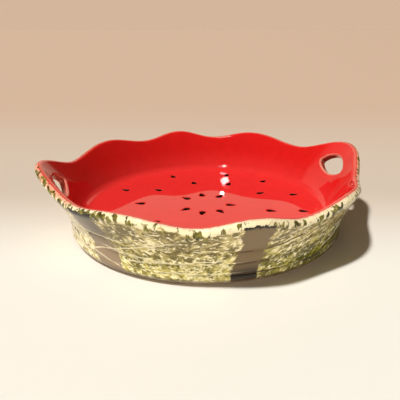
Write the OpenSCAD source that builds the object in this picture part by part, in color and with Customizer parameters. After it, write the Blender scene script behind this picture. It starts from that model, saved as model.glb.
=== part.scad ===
// Berry colander bowl: glazed clay with a waved rim, two hand holes and seed-shaped drain holes.
// Three clay pieces are luted together (foot ring, base dish, wall) and carry their coats of glaze.
// Millimetres, +Z up. The origin is on the table under the middle of the foot, hand holes on +X and -X.

/* [Base] */
// Radius of the foot and of the upright lower side
base_r = 108.5; // [104:0.5:114]
// Height of the foot ring, which lifts the floor off the table
foot_h = 7.5; // [5:0.5:9]
// Radial width of the foot ring
foot_w = 15; // [13:0.5:18]
// Radius of the foot's rounded outer edge
heel_r = 7.5; // [5:0.5:9]
// Radius of the foot's rounded inner edge
foot_inner_r = 2; // [1:0.5:3]
// Thickness of the floor
floor_t = 6.5; // [5:0.5:8]
// Inside radius where the floor turns up into the wall
corner_r = 10; // [6:0.5:12]
// Height at which the upright side starts to sweep outwards
upright_h = 10; // [9.5:0.5:12]
// Radius of that outward sweep
sweep_r = 40; // [36:1:44]

/* [Wall and rim] */
// Thickness of the wall
wall_t = 5.5; // [4:0.25:7]
// Lean of the wall from upright, in degrees
wall_flare = 28; // [24:1:32]
// Height of the dips of the waved rim
dip_h = 44; // [42.5:0.5:47]
// Height of the lobes of the waved rim
lobe_h = 50; // [47.5:0.5:54]
// Height of the two lobes that hold the hand holes
handle_h = 58; // [56:0.5:62]
// Extra outward lean of those two lobes, in degrees
handle_lean = 5; // [0:1:8]
// Angle from a hand hole to the dip beside it
handle_dip_a = 27.5; // [25:0.5:30]
// Angle from a hand hole to the next lobe
lobe_a = 52; // [48:1:55]
// Angle from a hand hole to the dip after that lobe
lobe_dip_a = 72.5; // [70:0.5:75]

/* [Hand holes] */
// Width of a hand hole
hand_w = 38; // [32:1:42]
// Height of a hand hole, as a share of the wall between the seam and the pale band
hand_l_share = 0.76; // [0.6:0.005:0.8]
// Gap between the seam and the hole's sill, as a share of the same stretch
hand_gap_share = 0.07; // [0.06:0.005:0.12]
// Share of the hole's height above its two tips
hand_arch_share = 0.64; // [0.55:0.01:0.7]
// Radius of the tips, as a share of the hole's height
hand_tip_share = 0.17; // [0.1:0.01:0.22]

/* [Drain holes] */
// Length of a seed-shaped drain hole
seed_l = 7.5; // [6:0.5:9]
// Width at its round end, which faces the middle of the bowl
seed_w = 4.6; // [4:0.2:5.4]
// Width at its tip
seed_tip_w = 1.2; // [0.8:0.1:2]
// Radius of the inner ring of drain holes
inner_ring_r = 21; // [18:0.5:26]
// Radius of the middle ring
middle_ring_r = 55; // [48:0.5:60]
// Radius of the outer ring
outer_ring_r = 80.5; // [76:0.5:82]

/* [Throwing grooves] */
// Radius of the tool that pressed the grooves
groove_r = 1.6; // [1.2:0.1:2.2]
// Depth of a groove
groove_depth = 0.5; // [0.3:0.1:0.7]
// Height of the lowest groove
groove_first_h = 9.5; // [9:0.5:10.5]
// Step from groove to groove, as a share of the side's height above the lowest one
groove_step_share = 0.43; // [0.3:0.01:0.43]
// Number of grooves
groove_count = 3; // [1:1:3]

/* [Glaze] */
// Thickness of every coat of glaze
glaze_t = 0.6; // [0.4:0.05:0.9]
// Height of the lower edge of the rind glaze
glaze_line_h = 3; // [2:0.25:4]
// Width of the pale band round the outside of the rim
band_w = 7; // [5:0.25:8]

/* [Hidden] */
$fn = 64;
// Directions of the hand-cut drain holes, ring by ring
inner_seeds = [41, 86, 130, 204, 248, 290, 337];
middle_seeds = [14, 53, 88, 128, 166, 212, 251, 290, 329];
outer_seeds = [2, 33, 61, 100, 141, 186, 216, 245, 274, 304, 334];
// Depth of a drain hole's sides inside its rounds, as a share of each round's radius
seed_sink_share = 0.02;
// Sections of a lofted ring, and steps on each side of the crest of the lip
section_count = 120;
lip_steps = 3;
// Cutters run past the solids by this much
overrun = 3;
floor_h = foot_h + floor_t;
// The seam between dish and wall is where the sweep reaches the wall's lean
seam_h = upright_h + sweep_r * sin(wall_flare);
seam_out_r = base_r + sweep_r * (1 - cos(wall_flare));
seam_in_r = seam_out_r - wall_t / cos(wall_flare);
seam_mid_r = (seam_out_r + seam_in_r) / 2;
lip_r = wall_t / 2;
// The inside corner's arc touches the floor and the leaning wall
floor_in_r = seam_in_r - (seam_h - floor_h) * tan(wall_flare);
corner_mid_r = floor_in_r + corner_r * (tan(wall_flare) - 1 / cos(wall_flare));
corner_mid_h = floor_h + corner_r;
// A radius past everything on the bowl
reach_r = seam_out_r + handle_h;
directions = [for (i = [0:section_count - 1]) 360 * i / section_count];

clay = "Wheat";
red_glaze = "Crimson";
pale_glaze = "LightYellow";
rind_green = "OliveDrab";

// Rim line: the height of the crest and the lean of the wall in direction a
function ease(t) = (1 - cos(180 * t)) / 2;
function fold(a) = let (b = a % 180) b > 90 ? 180 - b : b;
function swing(b, b0, b1, h0, h1) = h0 + (h1 - h0) * ease((b - b0) / (b1 - b0));
function crest_h(a) = let (b = fold(a))
    b < handle_dip_a ? swing(b, 0, handle_dip_a, handle_h, dip_h) :
    b < lobe_a ? swing(b, handle_dip_a, lobe_a, dip_h, lobe_h) :
    b < lobe_dip_a ? swing(b, lobe_a, lobe_dip_a, lobe_h, dip_h) :
    swing(b, lobe_dip_a, 90, dip_h, lobe_h);
function lean(a) = wall_flare + handle_lean * ease(max(0, 1 - fold(a) / handle_dip_a));

// The wall's section in direction a, as [radius, height] points, moved off the clay by a coat of glaze
function lip_middle(a) = let (f = lean(a), l = (crest_h(a) - lip_r - seam_h) / cos(f))
    [seam_mid_r + l * sin(f), seam_h + l * cos(f)];
function lip_point(a, turn, coat) = lip_middle(a) + (lip_r + coat) * [cos(turn), sin(turn)];
function lip_arc(a, turn0, turn1, coat) =
    [for (i = [0:lip_steps]) lip_point(a, turn0 + (turn1 - turn0) * i / lip_steps, coat)];
function inner_lip(a, coat) = lip_arc(a, 180 - lean(a), 90, coat);
function outer_lip(a, coat) = lip_arc(a, 90, -lean(a), coat);
function seam_in(coat) = [seam_in_r - coat / cos(wall_flare), seam_h];
function seam_out(coat) = [seam_out_r + coat / cos(wall_flare), seam_h];
function band_edge(a, coat) = let (top = lip_point(a, -lean(a), coat), drop = seam_out(coat) - top)
    top + drop * band_w / norm(drop);
function reversed(list) = [for (i = [len(list) - 1:-1:0]) list[i]];

// Paths along the section, from which the wall and its coats are closed
function lining_path(a, coat) = concat([seam_in(coat)], inner_lip(a, coat));
function band_path(a, coat) = concat(outer_lip(a, coat), [band_edge(a, coat)]);
function rind_path(a, coat) = [band_edge(a, coat), seam_out(coat)];
function wall_loop(a) =
    concat(lining_path(a, 0), [for (i = [1:lip_steps]) outer_lip(a, 0)[i]], [seam_out(0)]);

// A closed ring lofted through one loop of [radius, height] points for each direction
module ring_loft(loops) {
    n = len(loops);
    m = len(loops[0]);
    function at(i, j) = (i % n) * m + j % m;
    points = [for (i = [0:n - 1], p = loops[i]) [p[0] * cos(directions[i]), p[0] * sin(directions[i]), p[1]]];
    faces = [for (i = [0:n - 1], j = [0:m - 1], half = [0, 1])
        half == 0 ? [at(i, j), at(i + 1, j), at(i + 1, j + 1)] : [at(i, j), at(i + 1, j + 1), at(i, j + 1)]];
    polyhedron(points, faces);
}

// The side of foot and dish, filled in to the middle and grown by a coat of glaze
function side_r(h) = h < upright_h ? base_r : base_r + sweep_r - sqrt(sweep_r ^ 2 - (h - upright_h) ^ 2);
function groove_h(i) = groove_first_h + i * groove_step_share * (seam_h - groove_first_h);
module side_outline(coat) {
    difference() {
        union() {
            square([base_r - heel_r, heel_r]);
            translate([base_r - heel_r, heel_r]) circle(heel_r + coat);
            translate([0, heel_r]) square([base_r + coat, upright_h - heel_r]);
            translate([0, upright_h]) square([seam_out_r + coat / cos(wall_flare), seam_h - upright_h]);
        }
        translate([base_r + sweep_r, upright_h]) circle(sweep_r - coat);
        for (i = [0:groove_count - 1])
            translate([side_r(groove_h(i)) + coat + groove_r - groove_depth, groove_h(i)]) circle(groove_r);
    }
}

// The hollow of the dish up to the seam, drawn in by a coat of glaze
module hollow_outline(coat) {
    arc_r = corner_r - coat;
    top_h = seam_h + overrun;
    intersection() {
        square([reach_r, seam_h]);
        union() {
            polygon([[0, floor_h + coat], [corner_mid_r, floor_h + coat],
                [corner_mid_r + arc_r * cos(wall_flare), corner_mid_h - arc_r * sin(wall_flare)],
                seam_in(coat) + overrun * [tan(wall_flare), 1], [0, top_h]]);
            translate([corner_mid_r, corner_mid_h]) circle(arc_r);
        }
    }
}

// A seed-shaped hole, its round end towards the middle of the bowl and its tip outwards.
// The straight sides run a hair inside the rounds, so that they cross them instead of only touching
module seed_outline() {
    round_r = seed_w / 2;
    tip_r = seed_tip_w / 2;
    span = seed_l - round_r - tip_r;
    side_a = acos((round_r - tip_r) / span);
    function side_end(r, s) = (1 - seed_sink_share) * r * [cos(side_a), s * sin(side_a)];
    translate([round_r - seed_l / 2, 0]) {
        circle(round_r);
        translate([span, 0]) circle(tip_r);
        polygon([for (s = [-1, 1]) side_end(round_r, s), for (s = [1, -1]) [span, 0] + side_end(tip_r, s)]);
    }
}
module drain_holes() {
    for (ring = [[inner_ring_r, inner_seeds], [middle_ring_r, middle_seeds], [outer_ring_r, outer_seeds]])
        for (a = ring[1])
            rotate(a) translate([ring[0], 0, foot_h - overrun])
                linear_extrude(floor_t + glaze_t + 2 * overrun) seed_outline();
}

// A half-moon hole cut square to the wall: a high arch over a flatter sill
module hand_outline(arch, sill) {
    function bow_r(rise) = (hand_w ^ 2 / 4 + rise ^ 2) / (2 * rise);
    tip_r = hand_tip_share * (arch + sill);
    offset(r = tip_r) offset(delta = -tip_r) intersection() {
        translate([0, arch - bow_r(arch)]) circle(bow_r(arch));
        translate([0, bow_r(sill) - sill]) circle(bow_r(sill));
    }
}
module hand_holes() {
    f = lean(0);
    room = norm(band_edge(0, 0) - seam_out(0));
    arch = hand_arch_share * hand_l_share * room;
    sill = hand_l_share * room - arch;
    // The tips' place along the wall's middle, from the seam up
    tips_l = (seam_out_r - seam_mid_r) * sin(f) + hand_gap_share * room + sill;
    for (a = [0, 180])
        rotate(a) translate([seam_mid_r + tips_l * sin(f), 0, seam_h + tips_l * cos(f)])
            rotate([0, 90 + f, 0]) rotate(90)
                linear_extrude(wall_t + 2 * (glaze_t + overrun), center = true) hand_outline(arch, sill);
}

module foot_ring() {
    inner_r = base_r - foot_w;
    color(clay) rotate_extrude() intersection() {
        side_outline(0);
        union() {
            translate([inner_r, foot_inner_r]) square([foot_w, foot_h - foot_inner_r]);
            translate([inner_r + foot_inner_r, 0]) square([foot_w - foot_inner_r, foot_inner_r]);
            translate([inner_r + foot_inner_r, foot_inner_r]) circle(foot_inner_r);
        }
    }
}

module base_dish() {
    color(clay) difference() {
        rotate_extrude() difference() {
            intersection() {
                side_outline(0);
                translate([0, foot_h]) square([reach_r, seam_h - foot_h]);
            }
            hollow_outline(0);
        }
        drain_holes();
    }
}

module wall() {
    color(clay) difference() {
        ring_loft([for (a = directions) wall_loop(a)]);
        hand_holes();
    }
}

module dish_lining() {
    color(red_glaze) difference() {
        rotate_extrude() difference() {
            hollow_outline(0);
            hollow_outline(glaze_t);
        }
        drain_holes();
    }
}

module wall_lining() {
    color(red_glaze) difference() {
        ring_loft([for (a = directions) concat(lining_path(a, glaze_t), reversed(lining_path(a, 0)))]);
        hand_holes();
    }
}

module rim_band() {
    color(pale_glaze)
        ring_loft([for (a = directions) concat(band_path(a, glaze_t), reversed(band_path(a, 0)))]);
}

module dish_rind() {
    color(rind_green) rotate_extrude() intersection() {
        difference() {
            side_outline(glaze_t);
            side_outline(0);
        }
        translate([0, glaze_line_h]) square([reach_r, seam_h - glaze_line_h]);
    }
}

module wall_rind() {
    color(rind_green) difference() {
        ring_loft([for (a = directions) concat(rind_path(a, glaze_t), reversed(rind_path(a, 0)))]);
        hand_holes();
    }
}

foot_ring();
base_dish();
wall();
dish_lining();
wall_lining();
rim_band();
dish_rind();
wall_rind();
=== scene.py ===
# %% [markdown]
# A berry colander bowl in glazed clay
# The real bowl is shallow stoneware for rinsing berries, dressed as a slice of watermelon. It is red inside,
# with seed-shaped drain holes, pale round the waved rim, and green like a rind outside.
# The imported solids are the frame of this scene. The three clay pieces stay as they are, and each of the
# five coats of glaze is made again here as a fine smooth surface, because the glaze is what the eye meets.
# The solids are kept, and the sizes below are read off their boxes.

# %% Load the solids
import bpy
import numpy as np
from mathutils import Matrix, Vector


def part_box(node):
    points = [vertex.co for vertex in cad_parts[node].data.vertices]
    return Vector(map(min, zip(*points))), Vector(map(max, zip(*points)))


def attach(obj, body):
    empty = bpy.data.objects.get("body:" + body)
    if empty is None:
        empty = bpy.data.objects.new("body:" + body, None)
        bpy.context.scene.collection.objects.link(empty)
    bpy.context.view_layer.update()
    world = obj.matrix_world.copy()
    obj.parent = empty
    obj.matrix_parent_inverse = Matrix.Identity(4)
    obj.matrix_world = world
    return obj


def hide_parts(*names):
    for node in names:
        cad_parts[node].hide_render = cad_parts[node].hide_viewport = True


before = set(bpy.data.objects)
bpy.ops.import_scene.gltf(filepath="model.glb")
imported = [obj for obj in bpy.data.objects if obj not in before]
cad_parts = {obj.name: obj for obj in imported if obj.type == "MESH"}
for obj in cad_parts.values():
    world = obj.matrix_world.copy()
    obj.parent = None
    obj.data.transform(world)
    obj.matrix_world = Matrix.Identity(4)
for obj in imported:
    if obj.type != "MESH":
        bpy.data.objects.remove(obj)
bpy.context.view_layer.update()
print("solids:", ", ".join(sorted(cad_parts)))

# %% [markdown]
# Sizes
# A coat of glaze has to lie on the clay that carries it. Typing the sizes in again would let the two drift
# apart, so heights and radii are read off the boxes of the solids, and a few angles and the hidden rounds are
# named. The side of the dish is upright at first and then sweeps out on an arc until it has the wall's lean.
# The height and the width of that arc give its radius.

# %% Read the sizes off the solids
MM = 0.001
dish_lo, dish_hi = map(np.array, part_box("base_dish"))
lining_lo, lining_hi = map(np.array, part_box("dish_lining"))
base_r, foot_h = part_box("foot_ring")[1][0], dish_lo[2]
seam_h, seam_out_r, seam_in_r = dish_hi[2], dish_hi[0], lining_hi[0]
floor_h, glaze_line_h = lining_lo[2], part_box("dish_rind")[0][2]
handle_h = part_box("wall")[1][2]
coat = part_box("rim_band")[1][2] - handle_h

wall_flare, handle_lean = np.radians(28), np.radians(5)
sweep_r = (seam_out_r - base_r) / (1 - np.cos(wall_flare))
upright_h = seam_h - sweep_r * np.sin(wall_flare)
wall_t = (seam_out_r - seam_in_r) * np.cos(wall_flare)
seam_mid_r, lip_r = (seam_out_r + seam_in_r) / 2, wall_t / 2
corner_r, heel_r, band_w = 10 * MM, 7.5 * MM, 7 * MM
floor_in_r = seam_in_r - (seam_h - floor_h) * np.tan(wall_flare)
corner_mid_r = floor_in_r + corner_r * (np.tan(wall_flare) - 1 / np.cos(wall_flare))
found = {"seam height": seam_h, "wall": wall_t, "coat": coat, "sweep radius": sweep_r}
print(", ".join(f"{name} {size / MM:.2f} mm" for name, size in found.items()))

# %% [markdown]
# The waved rim
# The rim rises and falls eight times round the bowl, and the two lobes with the hand holes stand highest and
# lean out most. A curve drawn by hand would do, but a formula is easier to keep in step with the solids:
# the heights of lobes and dips are joined by half cosine waves, over a quarter of the round that is mirrored.

# %% The rim line
rim_angles = np.array([0, 27.5, 52, 72.5, 90])
rim_heights = np.array([handle_h, 44 * MM, 50 * MM, 44 * MM, 50 * MM])


def ease(t):
    """Half a cosine wave: it leaves 0 level and arrives at 1 level."""
    return (1 - np.cos(np.pi * t)) / 2


def fold(azimuth):
    """The azimuth in degrees, mirrored into the quarter from a hand hole (0) to the middle of a side (90)."""
    half = azimuth % 180
    return np.minimum(half, 180 - half)


def crest_height(azimuth):
    """Height of the clay's crest: the eased step between the two key heights on either side."""
    a = fold(azimuth)
    k = np.clip(np.searchsorted(rim_angles, a, side="right") - 1, 0, len(rim_angles) - 2)
    t = (a - rim_angles[k]) / (rim_angles[k + 1] - rim_angles[k])
    return rim_heights[k] + (rim_heights[k + 1] - rim_heights[k]) * ease(t)


def lean(azimuth):
    """Lean of the wall from upright: the flare, and a little more that fades out beside each hand hole."""
    return wall_flare + handle_lean * ease(np.maximum(0, 1 - fold(azimuth) / rim_angles[1]))


columns = 480
azimuths = np.arange(columns) * 360 / columns
print(f"rim from {crest_height(azimuths).min() / MM:.1f} to {crest_height(azimuths).max() / MM:.1f} mm high")

# %% [markdown]
# Section paths
# A coat is drawn as a path in the section of the bowl, radius and height, and every column round the bowl
# has its own copy of that path. A path is an array of rows, columns and two numbers. It is made of straight
# runs and arcs, at any distance off the clay: 0 gives the side that lies on the clay, and the thickness of
# the coat gives the side that shows.

# %% Straight runs and arcs
def point(radius, height):
    """A place in the section for every column, from numbers or arrays."""
    return np.stack(np.broadcast_arrays(radius, height, azimuths)[:2], axis=-1)


def straight(start, end, rows):
    """Rows spaced evenly from start to end."""
    t = np.linspace(0, 1, rows)[:, None, None]
    return start + (end - start) * t


def arc(middle, radius, turn0, turn1, rows):
    """Rows on a circle about the middle, from one turn to the other. 0 points outwards, a quarter turn up."""
    turn = turn0 + (turn1 - turn0) * np.linspace(0, 1, rows)[:, None]
    turn = np.broadcast_to(turn, (rows, columns))
    return middle + radius * np.stack([np.cos(turn), np.sin(turn)], axis=-1)


def chain(*paths):
    """One path after another. Each later path leaves out its first row, which the one before it ends on."""
    return np.concatenate([paths[0]] + [p[1:] for p in paths[1:]])


def lip_middle(azimuth):
    """Middle of the rounded lip: up the leaning wall from the seam until the round just reaches the crest."""
    f = lean(azimuth)
    run = (crest_height(azimuth) - lip_r - seam_h) / np.cos(f)
    return seam_mid_r + run * np.sin(f), seam_h + run * np.cos(f)


def run_along(path):
    """Distance along the rows from the first row, for every column."""
    steps = np.linalg.norm(np.diff(path, axis=0), axis=-1)
    return np.concatenate([np.zeros((1, columns)), np.cumsum(steps, axis=0)])


leans, lip_mid = lean(azimuths), point(*lip_middle(azimuths))
lip_ends = np.round([lip_mid.min(axis=0) / MM, lip_mid.max(axis=0) / MM], 1)
print("lip middle from", lip_ends[0], "to", lip_ends[1], "mm")

# %% [markdown]
# Closing a coat
# A coat of glaze is a thin shell with a side that shows and a side on the clay. A Solidify modifier could
# thicken a sheet, but then the two sides would not follow two known surfaces. Here the rows of the clay
# side are put after the rows that show, in reverse, so the grid closes on itself like a tube that runs round
# the bowl.

# %% Grid of a coat
def shell(front, back):
    """Points of a closed coat: front rows, then back rows in reverse, turned to each column's azimuth."""
    path = np.concatenate([front, back[::-1]])
    turn = np.radians(azimuths)
    return np.stack([path[..., 0] * np.cos(turn), path[..., 0] * np.sin(turn), path[..., 1]], axis=-1)


def shell_faces(rows, windows, has_pole):
    """Four corners for each face of the grid, less those inside the windows (row, row, column, column)."""
    j, i = np.meshgrid(np.arange(rows), np.arange(columns), indexing="ij")
    keep = np.ones((rows, columns), bool)
    keep[-1] = not has_pole
    for j0, j1, i0, i1 in windows:
        keep[j0:j1, np.arange(i0, i1) % columns] = False
        keep[rows - 1 - j1:rows - 1 - j0, np.arange(i0, i1) % columns] = False
    down, right = (j + 1) % rows, (i + 1) % columns
    corners = [j * columns + i, down * columns + i, down * columns + right, j * columns + right]
    return np.stack(corners, axis=-1)[keep]


print("a grid of 4 rows has", len(shell_faces(4, [], False)), "faces")

# %% [markdown]
# A hole is a window of left-out faces. Loops of points later lead from the window's frame down into the hole,
# with a band of faces from each loop to the next. Counting open edges shows whether a coat is closed.

# %% Windows and loops
def window_loop(j0, j1, i0, i1):
    """Rows and columns of a window's frame, once round, seen counter-clockwise from outside."""
    js, ls = np.arange(j0, j1), np.arange(i0, i1)
    rows = np.concatenate([js, np.full(len(ls), j1), js[::-1] + 1, np.full(len(ls), j0)])
    cols = np.concatenate([np.full(len(js), i0), ls, np.full(len(js), i1), ls[::-1] + 1])
    return rows, cols % columns


def bridge(loops):
    """Faces between neighbouring loops of point numbers, each loop as long as the next."""
    a, b = loops[:-1], loops[1:]
    return np.stack([a, np.roll(a, -1, 1), np.roll(b, -1, 1), b], axis=-1).reshape(-1, 4)


def open_edges(faces):
    """Number of edges that don't have exactly two faces, which is 0 on a closed surface."""
    pairs = np.concatenate([np.stack([f, np.roll(f, -1, 1)], -1).reshape(-1, 2) for f in faces if len(f)])
    return int((np.unique(np.sort(pairs, 1), axis=0, return_counts=True)[1] != 2).sum())


print("the frame of a window of 3 rows and 4 columns has", len(window_loop(0, 3, 0, 4)[0]), "points")

# %% [markdown]
# One function then turns points and faces into a Blender mesh. Smooth shading with sharp edges kept where
# the faces turn by more than 50 degrees lets the glaze flow, and keeps the thin edge of each coat from
# bending the light on the side that shows. Each coat takes the place of its solid and rides on the bowl's
# one body.

# %% Make a coat
sharp_angle = np.radians(50)


def make_coat(node, slot, points, quads, tris=np.zeros((0, 3), int), **attributes):
    """A mesh object that stands for a solid of the frame, with its point attributes."""
    mesh = bpy.data.meshes.new(node + "_coat")
    mesh.from_pydata(points.reshape(-1, 3).tolist(), [], quads.tolist() + tris.tolist())
    for name, values in attributes.items():
        mesh.attributes.new(name, "FLOAT", "POINT").data.foreach_set("value", np.float32(values).ravel())
    mesh.shade_smooth()
    mesh.set_sharp_from_angle(angle=sharp_angle)
    piece = bpy.data.objects.new(node + "_coat", mesh)
    bpy.context.scene.collection.objects.link(piece)
    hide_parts(node)
    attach(piece, "root")
    print(f"{piece.name}: {len(quads) * 2 + len(tris)} triangles, {open_edges([quads, tris])} open edges")
    return piece


print("edges stay sharp from", round(np.degrees(sharp_angle)), "degrees on")

# %% [markdown]
# Holes with soft edges
# The drain holes are shaped like melon seeds and the hand holes like half moons. Boolean cutters would leave
# hard edges and long thin faces that show in a gloss. Glaze rounds an edge off, so loops of points lead from
# a window's frame to the outline, round the edge and into the hole.
# An outline is made of arcs that share their normals where they meet. The point of the outline that belongs
# to a point of the frame is the one in the same direction, in coordinates squeezed to the outline's size.

# %% Outlines
def seed_outline(length, width, tip_width):
    """A seed: a large round and a small tip round, with their shared tangents as sides.
    Gives the points and the normals, the tip towards +u."""
    round_r, tip_r = width / 2, tip_width / 2
    span = length - round_r - tip_r
    side = np.arccos((round_r - tip_r) / span)
    turn = np.concatenate([np.linspace(-side, side, 25), np.linspace(side, 2 * np.pi - side, 60)])
    on_tip = np.arange(len(turn)) < 25
    normal = np.stack([np.cos(turn), np.sin(turn)], axis=-1)
    middle = np.stack([round_r - length / 2 + span * on_tip, 0 * turn], axis=-1)
    return middle + np.where(on_tip, tip_r, round_r)[:, None] * normal, normal


def match(frame_uv, outline, size):
    """The outline's points and normals that lie in the directions of the frame's points."""
    points, normals = outline
    squeezed, wanted = points / size, frame_uv / size
    angle = np.arctan2(squeezed[:, 1], squeezed[:, 0])
    want = np.arctan2(wanted[:, 1], wanted[:, 0])
    values = np.concatenate([points, normals], axis=1).T
    found = np.stack([np.interp(want, angle, v, period=2 * np.pi) for v in values], axis=-1)
    return found[:, :2], found[:, 2:] / np.linalg.norm(found[:, 2:], axis=1, keepdims=True)


def rounded_edge(start, end, steps):
    """Offsets from the outline and depths on a quarter round: from start outside the outline, level with the
    surface, to end inside it, as deep as start is wide."""
    turn = np.linspace(0, np.pi / 2, steps)
    return end + (start - end) * (1 - np.sin(turn)), start * (1 - np.cos(turn))


seed_l, seed_w, seed_tip_w = 7.5 * MM, 4.6 * MM, 1.2 * MM
seed_edge_out, seed_edge_in, seed_lead = 0.9 * MM, -0.2 * MM, (0.4, 0.75)
seed = seed_outline(seed_l, seed_w, seed_tip_w)
print("seed outline", np.round(np.ptp(seed[0], axis=0) / MM, 2), "mm")

# %% [markdown]
# The red floor
# Inside, the bowl is coated red. The floor is flat, turns up in a tight round corner and meets the wall at
# the seam. Three rings of drain holes go through it, cut by hand at uneven angles, with their tips outwards.
# The rows of the grid are close together where a ring of holes passes, and wide elsewhere.

# %% Floor section
ring_r = np.array([21, 55, 80.5]) * MM
ring_seeds = [
    [41, 86, 130, 204, 248, 290, 337],
    [14, 53, 88, 128, 166, 212, 251, 290, 329],
    [2, 33, 61, 100, 141, 186, 216, 245, 274, 304, 334],
]
window_half, window_half_angles = 6 * MM, (12, 5, 4)
pole_r, clear_of_seed, far = 4 * MM, 5 * MM, 50 * MM
wide_rows = np.linspace(pole_r, corner_mid_r, 18)
wide_rows = wide_rows[(np.abs(wide_rows[:, None] - ring_r) > 1.2 * window_half).all(axis=1)]
floor_rows = np.sort(np.concatenate([wide_rows, *(r + np.linspace(-1, 1, 15) * window_half for r in ring_r)]))


def lining_section(off):
    """The flat floor, the round corner and the straight run up to the seam, at a distance off the clay."""
    middle = point(corner_mid_r, floor_h + corner_r)
    flat = np.stack([point(r, floor_h + off) for r in floor_rows])
    turn = arc(middle, corner_r - off, -np.pi / 2, -wall_flare, 20)
    return chain(flat, turn, straight(turn[-1], point(seam_in_r - off / np.cos(wall_flare), seam_h), 6))


lining_front, lining_back = lining_section(coat), lining_section(0)
print("floor section has", len(lining_front), "rows")

# %% [markdown]
# Each hole's loops are worked out in the hole's own coordinates, u outwards and v round the bowl. They lead
# over the floor to the outline, round the edge, down the hole as a thin lining, and back up along the clay.

# %% Loops of a drain hole
def drain_loops(points, loop, azimuth, radius):
    """Stacked loops of points for one drain hole, between the frame on the floor and the frame on the clay,
    and how far each point lies outside the outline."""
    c, s = np.cos(np.radians(azimuth)), np.sin(np.radians(azimuth))
    frame_xy = points[loop][:, :2]
    uv = np.stack([frame_xy @ [c, s] - radius, frame_xy @ [-s, c]], axis=-1)
    on, normal = match(uv, seed, np.array([seed_l, seed_w]) / 2)
    edge, depth = rounded_edge(seed_edge_out, seed_edge_in, 7)
    level = floor_h + coat
    steps = [(uv + (on + edge[0] * normal - uv) * t, level) for t in seed_lead]
    steps += [(on + e * normal, level - d) for e, d in zip(edge, depth)]
    steps += [(on + edge[-1] * normal, foot_h), (on, foot_h), (on, floor_h)]
    flat = np.stack([uv for uv, _ in steps])
    off = ((flat - on) * normal).sum(axis=-1)
    x, y = (radius + flat[..., 0]) * c - flat[..., 1] * s, (radius + flat[..., 0]) * s + flat[..., 1] * c
    z = np.broadcast_to(np.array([z for _, z in steps])[:, None], x.shape)
    return np.stack([x, y, z], axis=-1), off


def loop_numbers(loop, first, inner_loops, end_loop):
    """Point numbers of the frame, of the new loops from first on, and of the frame on the clay side."""
    new = first + np.arange(inner_loops * len(loop)).reshape(inner_loops, -1)
    return np.concatenate([loop[None], new, end_loop[None]])


print("drain holes:", ", ".join(f"{len(angles)} at {r / MM:.1f} mm" for r, angles in zip(ring_r, ring_seeds)))

# %% [markdown]
# The floor has a pole in the middle, where all columns meet. A fan of triangles closes it on both sides.

# %% Build the floor coat
floor_points = shell(lining_front, lining_back)
rows = len(floor_points)
seed_holes = [(a, r, n) for r, angles, n in zip(ring_r, ring_seeds, window_half_angles) for a in angles]
seed_windows = []
for a, r, half_angle in seed_holes:
    j0 = int(np.argmin(np.abs(floor_rows - (r - window_half))))
    j1 = int(np.argmin(np.abs(floor_rows - (r + window_half))))
    i0, i1 = (int(round((a + side * half_angle) * columns / 360)) for side in (-1, 1))
    seed_windows.append((j0, j1, i0, i1))

flat_points = [floor_points.reshape(-1, 3)]
flat_faces = [shell_faces(rows, seed_windows, True)]
seed_off = [np.full(rows * columns, clear_of_seed)]
count = rows * columns
for (a, r, _), window in zip(seed_holes, seed_windows):
    js, ls = window_loop(*window)
    front, back = js * columns + ls, (rows - 1 - js) * columns + ls
    loops, off = drain_loops(flat_points[0], front, a, r)
    seed_off.append(off.ravel())
    flat_faces.append(bridge(loop_numbers(front, count, len(loops), back)))
    flat_points.append(loops.reshape(-1, 3))
    count += loops.shape[0] * loops.shape[1]

poles = np.array([[0, 0, floor_h + coat], [0, 0, floor_h]])
ring_i, next_i = np.arange(columns), (np.arange(columns) + 1) % columns
fan_top = np.stack([np.full(columns, count), ring_i, next_i], axis=-1)
last = (rows - 1) * columns
fan_low = np.stack([np.full(columns, count + 1), last + next_i, last + ring_i], axis=-1)
floor_all = np.concatenate(flat_points + [poles])
floor_coat = make_coat(
    "dish_lining", "red_glaze", floor_all, np.concatenate(flat_faces), np.concatenate([fan_top, fan_low]),
    drop=np.full(len(floor_all), far), edge=np.full(len(floor_all), far),
    seed=np.concatenate(seed_off + [[far, far]]))

# %% [markdown]
# The wall's two faces and the hand holes
# The wall leans out from the seam to the lip, red inside and green outside. A half-moon hole for the fingers
# goes through each of the two high lobes, cut square to the wall. Its upper edge is a high arch, its sill is
# flatter, and the two meet in small rounds. Its height is a share of the room between the seam and the pale
# band.

# %% Faces of the wall
def wall_lines(azimuth, side, off):
    """Radius of a face of the wall at the seam, and radius and height of its tangent to the lip.
    Side is -1 inside and 1 outside."""
    f, (mid_r, mid_h) = lean(azimuth), lip_middle(azimuth)
    foot = (seam_in_r if side < 0 else seam_out_r) + side * off / np.cos(wall_flare)
    return foot, mid_r + side * (lip_r + off) * np.cos(f), mid_h - side * (lip_r + off) * np.sin(f)


def wall_radius(azimuth, height, side, off):
    """Radius of a face of the wall: the straight line from the seam to the lip's tangent."""
    foot, tan_r, tan_h = wall_lines(azimuth, side, off)
    return foot + (height - seam_h) * (tan_r - foot) / (tan_h - seam_h)


hand_f = lean(0.0)
foot, tan_r, tan_h = wall_lines(0.0, 1, 0)
hand_room = np.hypot(tan_r - foot, tan_h - seam_h) - band_w
hand_share, sill_gap_share = 0.76, 0.07
arch_share, sill_share, tip_share = 0.64, 0.36, 0.17
hand_w, hand_l = 38 * MM, hand_share * hand_room
arch, sill, tip = arch_share * hand_l, sill_share * hand_l, tip_share * hand_l
tips_run = (seam_out_r - seam_mid_r) * np.sin(hand_f) + sill_gap_share * hand_room + sill
hand_mid = np.array([seam_mid_r + tips_run * np.sin(hand_f), 0, seam_h + tips_run * np.cos(hand_f)])
print(f"room for a hand hole {hand_room / MM:.1f} mm, tips {hand_mid[2] / MM:.1f} mm up")

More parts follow.
